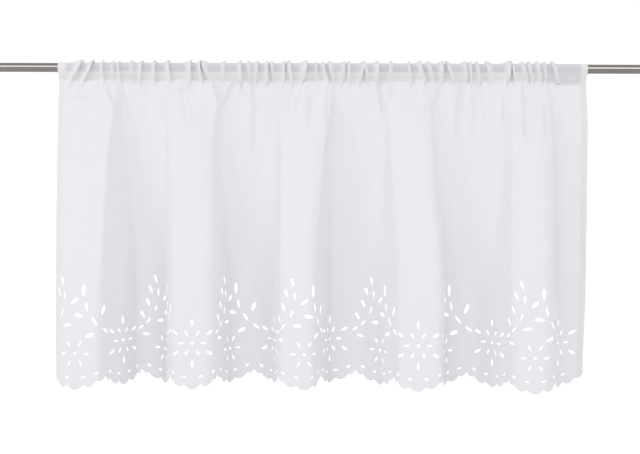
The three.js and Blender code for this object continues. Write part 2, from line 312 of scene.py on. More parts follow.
# %% [markdown]
# ## Hang the panel
#
# Below the seam a place keeps its height. The shares say how far across it has moved, and the map how far forward
# it stands. The sides of the panel stray a little, which is a last small table.

# %% Hang the panel
def relief_at(across, below):
    """How far forward the cloth stands there, read off the map."""
    column = np.clip(across - relief_places[0], 0, len(relief_places) - MAP_EDGE)
    row = np.clip(below, 0, len(depths) - MAP_EDGE)
    left, above = column.astype(int), row.astype(int)
    sideways, down = column - left, row - above
    upper = RELIEF[above, left] * (1 - sideways) + RELIEF[above, left + 1] * sideways
    lower = RELIEF[above + 1, left] * (1 - sideways) + RELIEF[above + 1, left + 1] * sideways
    return upper * (1 - down) + lower * down


SIDE_SHIFTS = [
    # below the rod; how far the left and the right side stray to the right (mm)
    (18, 0, 0), (80, 0, 5), (225, 0, 7), (344, 2.8, 8), (404, 4.2, 6), (454, 5.6, 4.5),
    (500, 6, 4),
]
LEFT_SHIFT_ENDS = 5  # scallops
RIGHT_SHIFT_STARTS, RIGHT_SHIFT_GROWS = 13.4, 0.6


def hang_panel(u, v):
    """Where the panel's cloth hangs: u in scallops, v the height in mm (negative, under the rod)."""
    side, gathered = (np.interp(-v, depths, share) for share in (SIDEWAYS, GATHERED))
    across = (1 - side) * np.interp(u, flat_u, rod_across) + side * np.interp(u, flat_u, hem_across)
    below, left, right = zip(*SIDE_SHIFTS)
    across += np.interp(-v, below, left) * np.clip(1 - u / LEFT_SHIFT_ENDS, 0, 1)
    rightmost = np.clip((u - RIGHT_SHIFT_STARTS) / RIGHT_SHIFT_GROWS, 0, 1)
    across += np.interp(-v, below, right) * rightmost
    gather = np.interp(u, flat_u, gather_height) * gathered
    lie = np.interp(u, flat_u, lie_across) * gather
    forward = relief_at(across, -v) + gather
    return np.stack([across + lie - SPAN / 2, -forward, v], axis=-1)


print("the lower right corner hangs at", hang_panel(SCALLOPS, CUSP_HEIGHT - HEM_SLANT).round())

# %% [markdown]
# ## The pocket round the rod
#
# The top of the cloth passes over the rod and comes down behind it to the stitched line, where its raw edge is
# turned under. In section that is two straight runs that touch a circle a little larger than the rod. The gathers
# stand forward in front, up on top and back behind, so one more table says which way they point.

# %% Shape the pocket
TURNED_UNDER = 6.0
LAYER_GAP = 0.45
POCKET_SLACK = 1.1
RIGHT_SEAM_DROP = 5.0
SEAM_WANDER = 0.9
SEAM_WAVES = [(0.6, 3.1, 0), (0.4, 7.7, 1)]  # size, turns per scallop and start (radians)
PLAIN_FROM, PLAIN_GROWS = 13.0, 0.5  # where the cloth lies flat on the rod (scallops)

seam_to_rod = math.sqrt(SEAM_DEPTH**2 - POCKET_RADIUS**2)
touch_angle = math.acos(POCKET_RADIUS / SEAM_DEPTH)
wrap_angle = 2 * math.pi - 2 * touch_angle
loop_length = 2 * seam_to_rod + POCKET_RADIUS * wrap_angle

GATHER_DIRECTIONS = [
    # share of the way round, forward (-Y), upward
    (0, 1, 0), (0.14, 0.92, 0), (0.26, 0.72, 0), (0.38, 0.60, 0.10), (0.44, 0.46, 0.55),
    (0.50, 0, 0.90), (0.56, -0.46, 0.55), (0.62, -0.60, 0.10), (0.74, -0.50, 0), (0.88, 0.15, 0),
    (1, 1, 0),
]


def seam_drop(u):
    """How much lower the seam runs: it wanders a little, and drops where the cloth lies flat on the rod."""
    plain = np.clip((u - PLAIN_FROM) / PLAIN_GROWS, 0, 1)
    waves = 1
    for size, turns, start in SEAM_WAVES:
        waves += size * np.sin(turns * u + start)
    return RIGHT_SEAM_DROP * plain * plain * (3 - 2 * plain) + SEAM_WANDER * waves * (1 - plain)


def pocket_section(way):
    """Forward place and height of the pocket's loop, way mm round from the seam in front."""
    angle = touch_angle + np.clip((way - seam_to_rod) / POCKET_RADIUS, 0, wrap_angle)
    forward = POCKET_RADIUS * np.sin(angle)
    height = -POCKET_RADIUS * np.cos(angle)
    run = np.minimum(way, loop_length - way) / seam_to_rod
    on_run = run < 1
    run = np.clip(run, 0, 1)
    bow = POCKET_SLACK * np.sin(math.pi * run)
    side = np.sign(loop_length / 2 - way)
    forward = np.where(on_run, side * (run * POCKET_RADIUS * math.sin(touch_angle) + bow), forward)
    height = np.where(on_run, -SEAM_DEPTH + run * (SEAM_DEPTH - POCKET_RADIUS * math.cos(touch_angle)), height)
    return forward, height


def hang_pocket(u, v):
    """Where the heading hangs: v is how high above the rod it would reach if it stood flat."""
    way = v + SEAM_DEPTH
    drop = seam_drop(u)
    forward, height = pocket_section(np.clip(way, 0, loop_length))
    share = np.clip(way / loop_length, 0, 1)
    shares, ahead, upward = zip(*GATHER_DIRECTIONS)
    gather = np.interp(u, flat_u, gather_height)
    over = np.sin(math.pi * share)
    across = np.interp(u, flat_u, rod_across) + np.interp(u, flat_u, lean_across) * over
    across += np.interp(u, flat_u, lie_across) * gather
    behind = 2 * LAYER_GAP * np.clip(2 * share - 1, 0, 1)
    forward += gather * np.interp(share, shares, ahead) - behind
    height += gather * np.interp(share, shares, upward)
    past = way - loop_length
    below = np.clip(past, 0, drop)
    turned = np.clip(past - drop, 0, TURNED_UNDER)
    height += turned - below
    forward += np.clip(turned, 0, LAYER_GAP) + relief_at(across, SEAM_DEPTH + below - turned)
    return np.stack([across - SPAN / 2, -forward, height], axis=-1)


def hang(u, v):
    """Where any place on the flat cloth hangs, in mm."""
    u, v = np.asarray(u, float), np.asarray(v, float)
    return np.where((v > -SEAM_DEPTH)[..., None], hang_pocket(u, v), hang_panel(u, v))


print("the pocket takes", round(loop_length + TURNED_UNDER, 1), "mm of cloth")

# %% [markdown]
# ## The scalloped edge
#
# The lower edge is cut in wide scallops, and each of them is cut again in five small lobes, as embroidery borders
# often are. The edge is drawn lobe by lobe as flat arcs between the notches of a table.

# %% Cut the edge
NOTCHES = [(0, 0), (0.13, 5.4), (0.36, 11.8), (0.64, 11.8), (0.87, 5.4), (1, 0)]  # in scallops, mm down
LOBE_DEPTHS = [3.3, 5.8, 6.9, 5.8, 3.3]
ARC_POINTS = 8
EDGE_BAND = 1.6


def cusp_height(u):
    """Height of the corners between scallops. The hem hangs a little lower at the right."""
    return CUSP_HEIGHT - HEM_SLANT * u / SCALLOPS


def scalloped_edge():
    """Points along the lower edge of the flat cloth, from left to right, as (u, v)."""
    points = []
    for scallop in range(SCALLOPS):
        for (start, start_drop), (end, end_drop), depth in zip(NOTCHES, NOTCHES[1:], LOBE_DEPTHS):
            for share in np.arange(ARC_POINTS) / ARC_POINTS:
                place = scallop + start + (end - start) * share
                drop = start_drop + (end_drop - start_drop) * share + depth * 4 * share * (1 - share)
                points.append((place, cusp_height(place) - drop))
    points.append((SCALLOPS, cusp_height(SCALLOPS)))
    return np.array(points)


edge = scalloped_edge()
print(len(edge), "points along the scalloped edge")

# %% [markdown]
# ## The cutwork border
#
# Above the scallops runs a border of small cut holes: flowers of petals round a dot, double flowers, and sprays of
# leaves that lean towards the double flowers. The border repeats every two scallops. One repeat is charted and
# copied along, and every hole is one rounded petal shape with a length, a width and a direction.

# %% Chart one repeat of the border
BIG_FLOWER = {"u": 1.5, "above": 48.2}
SMALL_FLOWER = {"u": 0.5, "above": 33.4}
PETAL = {"out": 16.4, "length": 8.9, "width": 3.25}
OUTER_PETAL = {"out": 29.6, "length": 11.4, "width": 4.25}
DOT = {"length": 5.3, "width": 4.6}

RIGHT_SPRAY = [
    # across and up from the small flower, length, width (mm), direction (degrees)
    (13.9, 91.1, 17.2, 5.4, 90), (18.2, 66.9, 13.7, 3.7, 104), (29.6, 46.4, 14.5, 3.7, 125),
    (46.0, 32.3, 12.9, 3.9, 143), (42.1, 62.7, 14.9, 5.7, 68), (7.0, 54.7, 13.9, 5.8, 170),
    (22.7, 26.5, 14.6, 5.5, 22),
]
LEFT_SPRAY = [
    (-18.0, 104.4, 12.9, 4.2, 108), (-14.1, 83.7, 11.7, 3.4, 92), (-18.8, 59.1, 11.3, 3.0, 73),
    (-31.3, 39.9, 10.6, 2.9, 52), (-44.1, 30.3, 10.5, 3.4, 32),
    (-26.5, 88.5, 12.5, 4.3, 114), (-31.3, 68.6, 12.5, 4.3, 116), (-40.3, 50.2, 12.5, 4.3, 120),
    (0.6, 76.0, 13.1, 5.0, 40), (-10.8, 41.3, 12.9, 5.2, 5), (-35.2, 20.0, 11.3, 4.5, 165),
]
EDGE_HOLES = [
    # place in the scallop, up from the corners (mm), direction (degrees)
    (0.13, 5.5, -30), (0.36, -0.3, -12), (0.64, -0.3, 12), (0.87, 5.5, 30),
]
EDGE_HOLE = {"length": 7.0, "width": 3.3}


def turned(across, up, degrees):
    """Turn flat places anticlockwise about the middle."""
    cosine, sine = math.cos(math.radians(degrees)), math.sin(math.radians(degrees))
    return across * cosine - up * sine, across * sine + up * cosine


def petal_ring(petal, first=0):
    """Six petals round a middle, as (across, up, length, width, direction)."""
    turns = range(first, first + 360, 60)
    return [(*turned(petal["out"], 0, turn), petal["length"], petal["width"], turn) for turn in turns]


def repeat_holes():
    """Every hole of one repeat, as (u, height above the corners, length, width, direction)."""
    flower = [(0, 0, DOT["length"], DOT["width"], 0), *petal_ring(PETAL)]
    groups = [
        (SMALL_FLOWER, flower + RIGHT_SPRAY + LEFT_SPRAY),
        (BIG_FLOWER, flower + petal_ring(OUTER_PETAL, 30)),
    ]
    holes = []
    for middle, group in groups:
        for across, up, length, width, turn in group:
            holes.append((middle["u"] + across / PITCH, middle["above"] + up, length, width, turn))
    for scallop in (0, 1):
        for place, up, turn in EDGE_HOLES:
            holes.append((scallop + place, up, EDGE_HOLE["length"], EDGE_HOLE["width"], turn))
    return holes


REPEAT = repeat_holes()
print(len(REPEAT), "holes in one repeat")

# %% [markdown]
# ## Place every hole
#
# The repeat is copied seven times. Sprays that would cross the side hems are left out, as the border stops there.

# %% Copy the repeat along the hem
HOLE_POINTS = 14
PETAL_TAPER = 0.22
RIM = 1.0
SIDE_HEMS = {"left": 8.0, "right": 9.0}
HEM_LINES = np.array([SIDE_HEMS["left"], CLOTH_WIDTH - SIDE_HEMS["right"]])  # their inner edges


def petal_outline(length, width, direction, grow=0.0):
    """Points round one hole in mm about its middle, a little wider at its outer end."""
    angle = np.arange(HOLE_POINTS) * 2 * math.pi / HOLE_POINTS
    along = (length / 2 + grow) * np.cos(angle)
    wide = (width / 2 + grow) * np.sin(angle) * (1 + PETAL_TAPER * np.cos(angle))
    return np.stack(turned(along, wide, direction), axis=-1)


def place_holes():
    """Every hole of the flat cloth, as (across, height, length, width, direction) in mm."""
    holes = []
    for copy in range(SCALLOPS // 2):
        for u, above, length, width, direction in REPEAT:
            place = u + 2 * copy
            reach = length / 2 + RIM
            if HEM_LINES[0] + reach < place * PITCH < HEM_LINES[1] - reach:
                holes.append((place * PITCH, cusp_height(place) + above, length, width, direction))
    return holes


cut_holes = place_holes()
print(len(cut_holes), "holes in the cloth")

# %% [markdown]
# ## Mesh the flat cloth
#
# A plain grid can't carry hundreds of round holes, and cutting them with booleans is slow and leaves long thin
# faces. A constrained triangulation takes the edge, every hole and a scatter of grid points at once, and gives back
# triangles that keep all the outlines. It is done flat, where it is simple.

# %% Lay out the points
GRID = {"across": 2.2, "pocket": 2.6, "upper": 3.6, "lower": 6.0, "open_up": 130.0, "below_corners": 30.0}
CLEAR = {"top": 0.8, "edge": 1.0, "hole": 2.0, "corner": 3.0}  # how far grid points keep from each (mm)
TOP_POINTS = 400
SOFT_BORDER = 2.0  # width of the change from one layer to two (mm)


def cloth_top(u):
    """Height, on the flat cloth, of the raw edge that is turned under at the seam."""
    return loop_length - SEAM_DEPTH + seam_drop(u) + TURNED_UNDER


def row_heights():
    """Heights of the grid's rows, from the raw edge down: close over the rod, wider towards the hem."""
    rows, height = [], cloth_top(SCALLOPS) - CLEAR["edge"]
    while height > CUSP_HEIGHT - GRID["below_corners"]:
        rows.append(height)
        if height > -SEAM_DEPTH:
            height -= GRID["pocket"]
        else:
            height -= GRID["upper"] if height > -GRID["open_up"] else GRID["lower"]
    return rows


def grid_points():
    """Points inside the cloth, clear of its outline and holes, with straight columns beside the side hems."""
    beside_hems = np.concatenate([HEM_LINES - SOFT_BORDER / 2, HEM_LINES + SOFT_BORDER / 2])
    columns = np.arange(GRID["across"], CLOTH_WIDTH - 1, GRID["across"])
    columns = columns[np.abs(columns[:, None] - beside_hems).min(axis=1) > SOFT_BORDER / 2]
    columns = np.sort(np.concatenate([columns, beside_hems]))
    staggered = ~np.isin(columns, beside_hems)
    edge_height = np.interp(columns, edge[:, 0] * PITCH, edge[:, 1])
    top = cloth_top(columns / PITCH)
    points = []
    for row, height in enumerate(row_heights()):
        keep = (height < top - CLEAR["top"]) & (height > edge_height + EDGE_BAND + CLEAR["edge"])
        if height < -GRID["open_up"]:
            keep &= (np.arange(len(columns)) % 2 != row % 2) | ~staggered
        points.append(np.stack([columns[keep], np.full(keep.sum(), height)], axis=-1))
    points = np.concatenate(points)
    keep = np.ones(len(points), bool)
    for across, height, length, width, direction in cut_holes:
        along, wide = turned(points[:, 0] - across, points[:, 1] - height, -direction)
        keep &= (along / (length / 2 + CLEAR["hole"])) ** 2 + (wide / (width / 2 + CLEAR["hole"])) ** 2 > 1
    return points[keep]


def side_heights(u):
    """Heights of the points on one side of the cloth, from the top down."""
    heights = np.array(row_heights())
    return heights[(heights > cusp_height(u) + CLEAR["corner"]) & (heights < cloth_top(u) - CLEAR["edge"])]


def cloth_outline():
    """The whole outline of the flat cloth in mm, anticlockwise from the lower left corner."""
    left, right = side_heights(0), side_heights(SCALLOPS)[::-1]
    top_places = np.linspace(CLOTH_WIDTH, 0, TOP_POINTS)
    return np.concatenate([
        edge * (PITCH, 1),
        np.stack([np.full(len(right), CLOTH_WIDTH), right], axis=-1),
        np.stack([top_places, cloth_top(top_places / PITCH)], axis=-1),
        np.stack([np.zeros(len(left)), left], axis=-1),
    ])


print(len(cloth_outline()), "points round the cloth")

# %% [markdown]
# ## Layers and triangles
#
# Each point gets a value that tells the material where the cloth lies in layers, which it paints whiter as painted
# light, and where it is sewn round, which it paints darker as painted shade. It changes over a short distance, as a
# sharp step would show the triangles.

# %% Triangulate it
# The value on sewn edges, where the material paints the cloth darker: a painted shade of the raised edge.
SEWN_EDGE = 2.0
PLAIN_END_SHADE = 0.7  # how much less layer value the flat part at the right end gets; its lost whiteness is painted shade
GATHER_CLOSES = 1.5
BAND_UNDER_ROD = 3.0
TRIANGLES, MERGE = 0, 1e-4  # the kind of result asked for, and the distance at which points are one


# The material closes these layered places and paints them whiter, which is painted light.
def layered(points):
    """1 where the cloth lies in layers: in the side hems, in the gathers, and between the rod and the seam."""
    across, height = points[:, 0], points[:, 1]
    side = np.maximum(HEM_LINES[0] - across, across - HEM_LINES[1])
    above_seam = height + SEAM_DEPTH + seam_drop(across / PITCH)
    from_seam = np.minimum(above_seam, seam_to_rod - BAND_UNDER_ROD - height - SEAM_DEPTH)
    # The flat part at the right end keeps less of the layer value, so it is painted less white: painted shade.
    layer_value_kept = 1 - PLAIN_END_SHADE * np.clip((across / PITCH - PLAIN_FROM) / PLAIN_GROWS, 0, 1)
    in_hem = np.clip(side / SOFT_BORDER + 0.5, 0, 1)
    under_rod = layer_value_kept * np.clip(from_seam / SOFT_BORDER + 0.5, 0, 1)
    on_rod = np.clip((height + SEAM_DEPTH) / SOFT_BORDER, 0, 1)
    gathered = np.interp(across / PITCH, flat_u, gather_height) / gather_height.max()
    return np.maximum(np.maximum(in_hem, under_rod), on_rod * np.clip(GATHER_CLOSES * gathered, 0, 1))


def flat_cloth():
    """Triangles of the flat cloth: points in mm, faces, and each point's value for the material."""
    loops, rims = [cloth_outline()], []
    for *middle, length, width, direction in cut_holes:
        loops.append(petal_outline(length, width, direction) + middle)
        rims.append(petal_outline(length, width, direction, RIM) + middle)
    band = edge[2:-2] * (PITCH, 1) + (0, EDGE_BAND)
    points = np.concatenate([*loops, *rims, band, grid_points()])
    starts = np.cumsum([0] + [len(loop) for loop in loops])
    firm = layered(points)
    firm[: len(edge)] = SEWN_EDGE
    firm[starts[1] : starts[-1]] = SEWN_EDGE
    faces = [list(range(start, end)) for start, end in zip(starts, starts[1:])]
    made = delaunay_2d_cdt([Vector(p) for p in points], [], faces, TRIANGLES, MERGE)
    verts, _, triangles, origin, _, inside = made
    kept = [tri for tri, parents in zip(triangles, inside) if list(parents) == [0]]
    firmness = np.array([max((firm[i] for i in source), default=0) for source in origin])
    return np.array([tuple(v) for v in verts]), kept, firmness


flat_points, cloth_faces, firmness = flat_cloth()
print(len(cloth_faces), "triangles in the cloth")

# %% [markdown]
# ## Hang the cloth
#
# Every flat point goes through the hanging function, and the triangles come along unchanged. The side hems are
# narrow strips turned to the back, so each is one more layer close behind the edge.

# %% Hang it and turn the side hems
HEM_COLUMNS = 4
HEM_FOOT = 12.0  # how far its last row of points keeps from the corners (mm)
HEM_INSET = 0.006  # scallops
NEARBY = {"u": 0.004, "v": 0.3}  # the steps that show how the cloth slopes


def cloth_normal(u, v):
    """Direction square to the hung cloth, pointing to its face."""
    along = hang(np.minimum(u + NEARBY["u"], SCALLOPS), v) - hang(np.maximum(u - NEARBY["u"], 0), v)
    up = hang(u, v + NEARBY["v"]) - hang(u, v - NEARBY["v"])
    square = np.cross(along, up)
    return square / np.linalg.norm(square, axis=-1, keepdims=True)


def hem_strip(side):
    """The turned layer of a side hem: its points, flat places, values for the material and faces."""
    inward = np.linspace(0, SIDE_HEMS[side] / PITCH, HEM_COLUMNS)
    columns = inward if side == "left" else SCALLOPS - inward[::-1]
    low = np.interp(columns, edge[:, 0], edge[:, 1]) + CLEAR["edge"]
    heights = np.array(row_heights())
    under_top = heights < loop_length - SEAM_DEPTH - CLEAR["edge"]
    heights = heights[under_top & (heights > CUSP_HEIGHT + HEM_FOOT)]
    u = np.clip(np.tile(columns, (len(heights) + 1, 1)), HEM_INSET, SCALLOPS - HEM_INSET)
    v = np.concatenate([np.tile(heights[:, None], (1, HEM_COLUMNS)), low[None, :]])
    points = hang(u, v) - cloth_normal(u, v) * LAYER_GAP
    faces = []
    for row in range(len(v) - 1):
        for column in range(HEM_COLUMNS - 1):
            corner = row * HEM_COLUMNS + column
            faces.append((corner, corner + HEM_COLUMNS, corner + HEM_COLUMNS + 1, corner + 1))
    flat = np.stack([u * PITCH, v, np.zeros_like(u)], axis=-1)
    return points.reshape(-1, 3), flat.reshape(-1, 3), np.ones(u.size), faces


def smooth_object(name, points, faces):
    """A smooth-shaded mesh object from points in metres."""
    mesh = bpy.data.meshes.new(name)
    mesh.from_pydata([tuple(p) for p in points], [], [tuple(f) for f in faces])
    mesh.polygons.foreach_set("use_smooth", [True] * len(mesh.polygons))
    mesh.validate()
    made = bpy.data.objects.new(name, mesh)
    bpy.context.collection.objects.link(made)
    return made


def mesh_piece(name, points, faces):
    """A mesh object from points in mm that moves with the curtain's body."""
    piece = smooth_object(name, points * MM, faces)
    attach(piece, "root")
    return piece


def hung_cloth():
    """The same for the whole cloth, with both side hems."""
    flat = np.column_stack([flat_points, np.zeros(len(flat_points))])
    panel = (hang(flat_points[:, 0] / PITCH, flat_points[:, 1]), flat, firmness, cloth_faces)
    *columns, part_faces = zip(panel, *(hem_strip(side) for side in SIDE_HEMS))
    faces, start = [], 0
    for points, new_faces in zip(columns[0], part_faces):
        faces += [tuple(i + start for i in face) for face in new_faces]
        start += len(points)
    return *(np.concatenate(column) for column in columns), faces


hung, flat_places, stitched, all_faces = hung_cloth()
curtain = mesh_piece("curtain_cloth", hung, all_faces)
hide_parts("curtain")

attributes = curtain.data.attributes
attributes.new("flat_place", "FLOAT_VECTOR", "POINT").data.foreach_set("vector", (flat_places * MM).ravel())
# The stitched value tells the material where to paint layers whiter, as painted light, and sewn edges darker, as
# painted shade.
attributes.new("stitched", "FLOAT", "POINT").data.foreach_set("value", stitched)
print("curtain:", len(hung), "points,", len(all_faces), "faces")

# %% [markdown]
# ## Stitches
#
# The seam under the rod and the two side hems are held by lines of machine stitches. Each is a short rounded bar
# of thread that dips into the cloth at both ends. A texture would lose them close up, and there are few enough to
# be real meshes.

# %% Sew the stitches
STITCH = {"length": 2.6, "gap": 0.8, "thick": 0.34, "proud": 0.2}
STITCH_SECTIONS = [(-1, 0.35), (-0.7, 0.85), (0, 1), (0.7, 0.85), (1, 0.35)]
STITCH_SIDES = 5
SEAM_LINE = {"inset": 0.02, "below": 0.6, "points": 600}  # inset in scallops, below in mm
SIDE_LINE = {"inside": 1.5, "under_seam": 8, "above_edge": 4, "points": 200}  # in mm
FIRST_STITCH = 1.0


def ring_faces(rings, sides):
    """Faces that join each ring of points to the next, all the way round."""
    faces = []
    for ring in range(rings - 1):
        for step in range(sides):
            a, b = ring * sides + step, ring * sides + (step + 1) % sides
            faces.append((a, b, b + sides, a + sides))
    return faces


def stitch_mesh(start, end, out):
    """One stitch between two points of the hung cloth."""
    middle, half = (start + end) / 2, (end - start) / 2
    side = np.cross(half, out)
    side /= np.linalg.norm(side)
    points = []
    for place, share in STITCH_SECTIONS:
        lift = STITCH["proud"] * share
        for step in range(STITCH_SIDES):
            turn = 2 * math.pi * step / STITCH_SIDES
            ring = (side * math.cos(turn) + out * math.sin(turn)) * STITCH["thick"] / 2 * share
            points.append(middle + half * place + out * lift + ring)
    faces = ring_faces(len(STITCH_SECTIONS), STITCH_SIDES)
    faces.append(tuple(range(STITCH_SIDES))[::-1])
    faces.append(tuple(range(len(points) - STITCH_SIDES, len(points))))
    return points, faces


def stitch_lines():
    """The seam under the rod and the two side hems, as lines of flat places (u, v)."""
    along = np.linspace(SEAM_LINE["inset"], SCALLOPS - SEAM_LINE["inset"], SEAM_LINE["points"])
    lines = [np.stack([along, -SEAM_DEPTH - SEAM_LINE["below"] - seam_drop(along)], axis=-1)]
    for side, width in SIDE_HEMS.items():
        inward = (width - SIDE_LINE["inside"]) / PITCH
        place = inward if side == "left" else SCALLOPS - inward
        low = np.interp(place, edge[:, 0], edge[:, 1]) + SIDE_LINE["above_edge"]
        heights = np.linspace(-SEAM_DEPTH - SIDE_LINE["under_seam"], low, SIDE_LINE["points"])
        lines.append(np.stack([np.full_like(heights, place), heights], axis=-1))
    return lines


def sew(lines):
    """Points and faces of evenly spaced stitches along every line."""
    points, faces = [], []
    for u, v in (line.T for line in lines):
        way = np.concatenate([[0], np.cumsum(np.hypot(np.diff(u) * PITCH, np.diff(v)))])
        last = way[-1] - STITCH["length"] - FIRST_STITCH
        for start in np.arange(FIRST_STITCH, last, STITCH["length"] + STITCH["gap"]):
            ends = np.array([start, start + STITCH["length"]])
            end_u, end_v = np.interp(ends, way, u), np.interp(ends, way, v)
            out = cloth_normal(end_u.sum() / 2, end_v.sum() / 2)
            new_points, new_faces = stitch_mesh(*hang(end_u, end_v), out)
            faces += [tuple(i + len(points) for i in face) for face in new_faces]
            points += new_points
    return np.array(points), faces


stitch_points, stitch_faces = sew(stitch_lines())
stitches = mesh_piece("seam_stitches", stitch_points, stitch_faces)

# %% [markdown]
# ## The rod
#
# The rod is a thin metal tube. It is a profile turned about its axis, with a small rounded lip at each cut end, a
# wall, and a short bore that goes dark inside.

# %% Turn the rod
ROD_SIDES = 64
WALL = 1.0
BORE = 60.0
LIP, LIP_STEP = 0.5, 18  # mm and degrees


def rod_profile():
    """Half section of one end of the tube: distance in from the end, and radius."""
    lip = [math.radians(angle) for angle in range(0, 91, LIP_STEP)]
    outer = [(LIP * (1 - math.sin(a)), ROD_RADIUS - LIP * (1 - math.cos(a))) for a in lip]
    inner = [(LIP * (1 - math.cos(a)), ROD_RADIUS - WALL + LIP * (1 - math.sin(a))) for a in lip]
    return [(ROD_LENGTH / 2, ROD_RADIUS), *outer, *inner[1:], (BORE, ROD_RADIUS - WALL), (BORE, 0.0)]


def turn_rod():
    """Points and faces of the whole rod."""
    end = rod_profile()
    profile = [(-ROD_LENGTH / 2 + inset, radius) for inset, radius in end[::-1]]
    profile += [(ROD_LENGTH / 2 - inset, radius) for inset, radius in end[1:]]
    points = []
    for along, radius in profile:
        for step in range(ROD_SIDES):
            turn = 2 * math.pi * step / ROD_SIDES
            points.append((along, radius * math.cos(turn), radius * math.sin(turn)))
    return np.array(points), ring_faces(len(profile), ROD_SIDES)


rod_points, rod_faces = turn_rod()
rod = mesh_piece("rod_tube", rod_points, rod_faces)
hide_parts("rod")
print("rod:", len(rod_faces), "faces")

# %% [markdown]
# ## A small language for materials
#
# A material is a graph of nodes. Written as node calls, even a short sum takes many lines, so one small class
# wraps a node's output and lets Python's own signs add the Math nodes. One function adds every other node.

# %% Wrap the nodes
class Wire:
    """An output of one of a material's nodes. Arithmetic on wires adds Math nodes."""

    def __init__(self, tree, socket):
        self.tree = tree
        self.socket = socket

    def math(self, operation, *values):
        return add_node(self.tree, "Math", dict(enumerate(values)), operation=operation)

    def clipped(self):
        return add_node(self.tree, "Clamp", {"Value": self})

    def beside(self, output):
        """Another output of the same node."""
        return Wire(self.tree, self.socket.node.outputs[output])


# Python turns a + b into a.__add__(b), or into b.__radd__(a) where a is a plain number.
SIGNS = {"add": "ADD", "sub": "SUBTRACT", "mul": "MULTIPLY", "truediv": "DIVIDE", "pow": "POWER"}
for sign, operation in SIGNS.items():
    setattr(Wire, f"__{sign}__", lambda self, other, kind=operation: self.math(kind, self, other))
    setattr(Wire, f"__r{sign}__", lambda self, other, kind=operation: self.math(kind, other, self))


def add_node(tree, kind, sockets=None, output=0, **settings):
    """Add a shader node, set it up, feed its sockets, and return one of its outputs as a wire."""
    node = tree.nodes.new("ShaderNode" + kind)
    for name, value in settings.items():
        setattr(node, name, value)
    for name, value in (sockets or {}).items():
        if isinstance(value, Wire):
            tree.links.new(value.socket, node.inputs[name])
        else:
            node.inputs[name].default_value = value
    return Wire(tree, node.outputs[output])


def mix_colour(factor, first, second):
    """The first colour, and the second where the factor is 1."""
    sockets = {"Factor": factor, "A": first, "B": second}
    return add_node(factor.tree, "Mix", sockets, "Result", data_type="RGBA")


def dress(thing, name, make_shader):
    """Give a piece a new material, with the shader that the function builds in its node tree."""
    material = bpy.data.materials.new(name)
    material.use_nodes = True
    tree = material.node_tree
    tree.nodes.clear()
    surface = tree.nodes.new("ShaderNodeOutputMaterial").inputs["Surface"]
    tree.links.new(make_shader(tree).socket, surface)
    thing.data.materials.append(material)


print(len(SIGNS), "signs work on wires")

# %% [markdown]
# ## Voile
#
# Voile is a plain weave of fine threads with gaps between them. About a seventh of what is behind shows straight
# through the gaps, and the threads both reflect light and glow with the light behind. So the material mixes three
# shaders: clear, for the gaps; translucent; and a soft white surface. Where the cloth turns away the gaps close
# up, as the slats of a blind do, so its clear share is raised to the power of one over the cosine. Layers are
# nearly closed, and their whiter colour is painted light that stands in for the light scattered between them. The
# close stitches round a cut edge get a darker colour, which is painted shade. One value on the mesh, 0 in plain
# cloth, 1 in layers and 2 on a sewn edge, tells the material where.

# %% Weave the voile
VOILE = {
    "colour": (0.888, 0.877, 0.922, 1), "layers_painted_light": (0.962, 0.957, 0.972, 1), "painted_edge_shade": (0.7, 0.695, 0.72, 1),
    "through": (0.93, 0.92, 0.965, 1), "glow": 0.06,
    "clear": 0.145, "closes": 0.75, "side_on": 1.02,  # gaps, how far layers close them, and the least cosine + 1
    "thread": 0.00062, "slub": 0.1, "slub_bump": 0.8, "layer_bump": 3.0, "bump": 0.25,
}
ALONG_WARP, ALONG_WEFT = (900, 25, 1), (25, 900, 1)  # streaks to the metre across and along the threads
THREAD = {"dark": (0.9, 0.9, 0.93, 1), "light": (0.97, 0.97, 0.99, 1), "bump": 0.3}
BUMP_DEPTH = 0.0001


def weave_height(place):
    """Height of a plain weave: two sets of threads that pass over and under one another."""
    turns = 2 * math.pi / VOILE["thread"] / 2
    parts = add_node(place.tree, "SeparateXYZ", {0: place})
    warp, weft = parts * turns, parts.beside("Y") * turns
    return warp.math("SINE", warp) * weft.math("SINE", weft)


def streaky(place, stretch):
    """Soft noise that is drawn out into streaks, such as where yarn is a little thicker or thinner."""
    stretched = add_node(place.tree, "VectorMath", {0: place, 1: stretch}, operation="MULTIPLY")
    sockets = {"Vector": stretched, "Scale": 1.0, "Detail": 3.0, "Roughness": 0.6}
    return add_node(place.tree, "TexNoise", sockets)


def bump(strength, height):
    """A normal that is tilted by a height."""
    sockets = {"Strength": strength, "Distance": BUMP_DEPTH, "Height": height}
    return add_node(height.tree, "Bump", sockets)


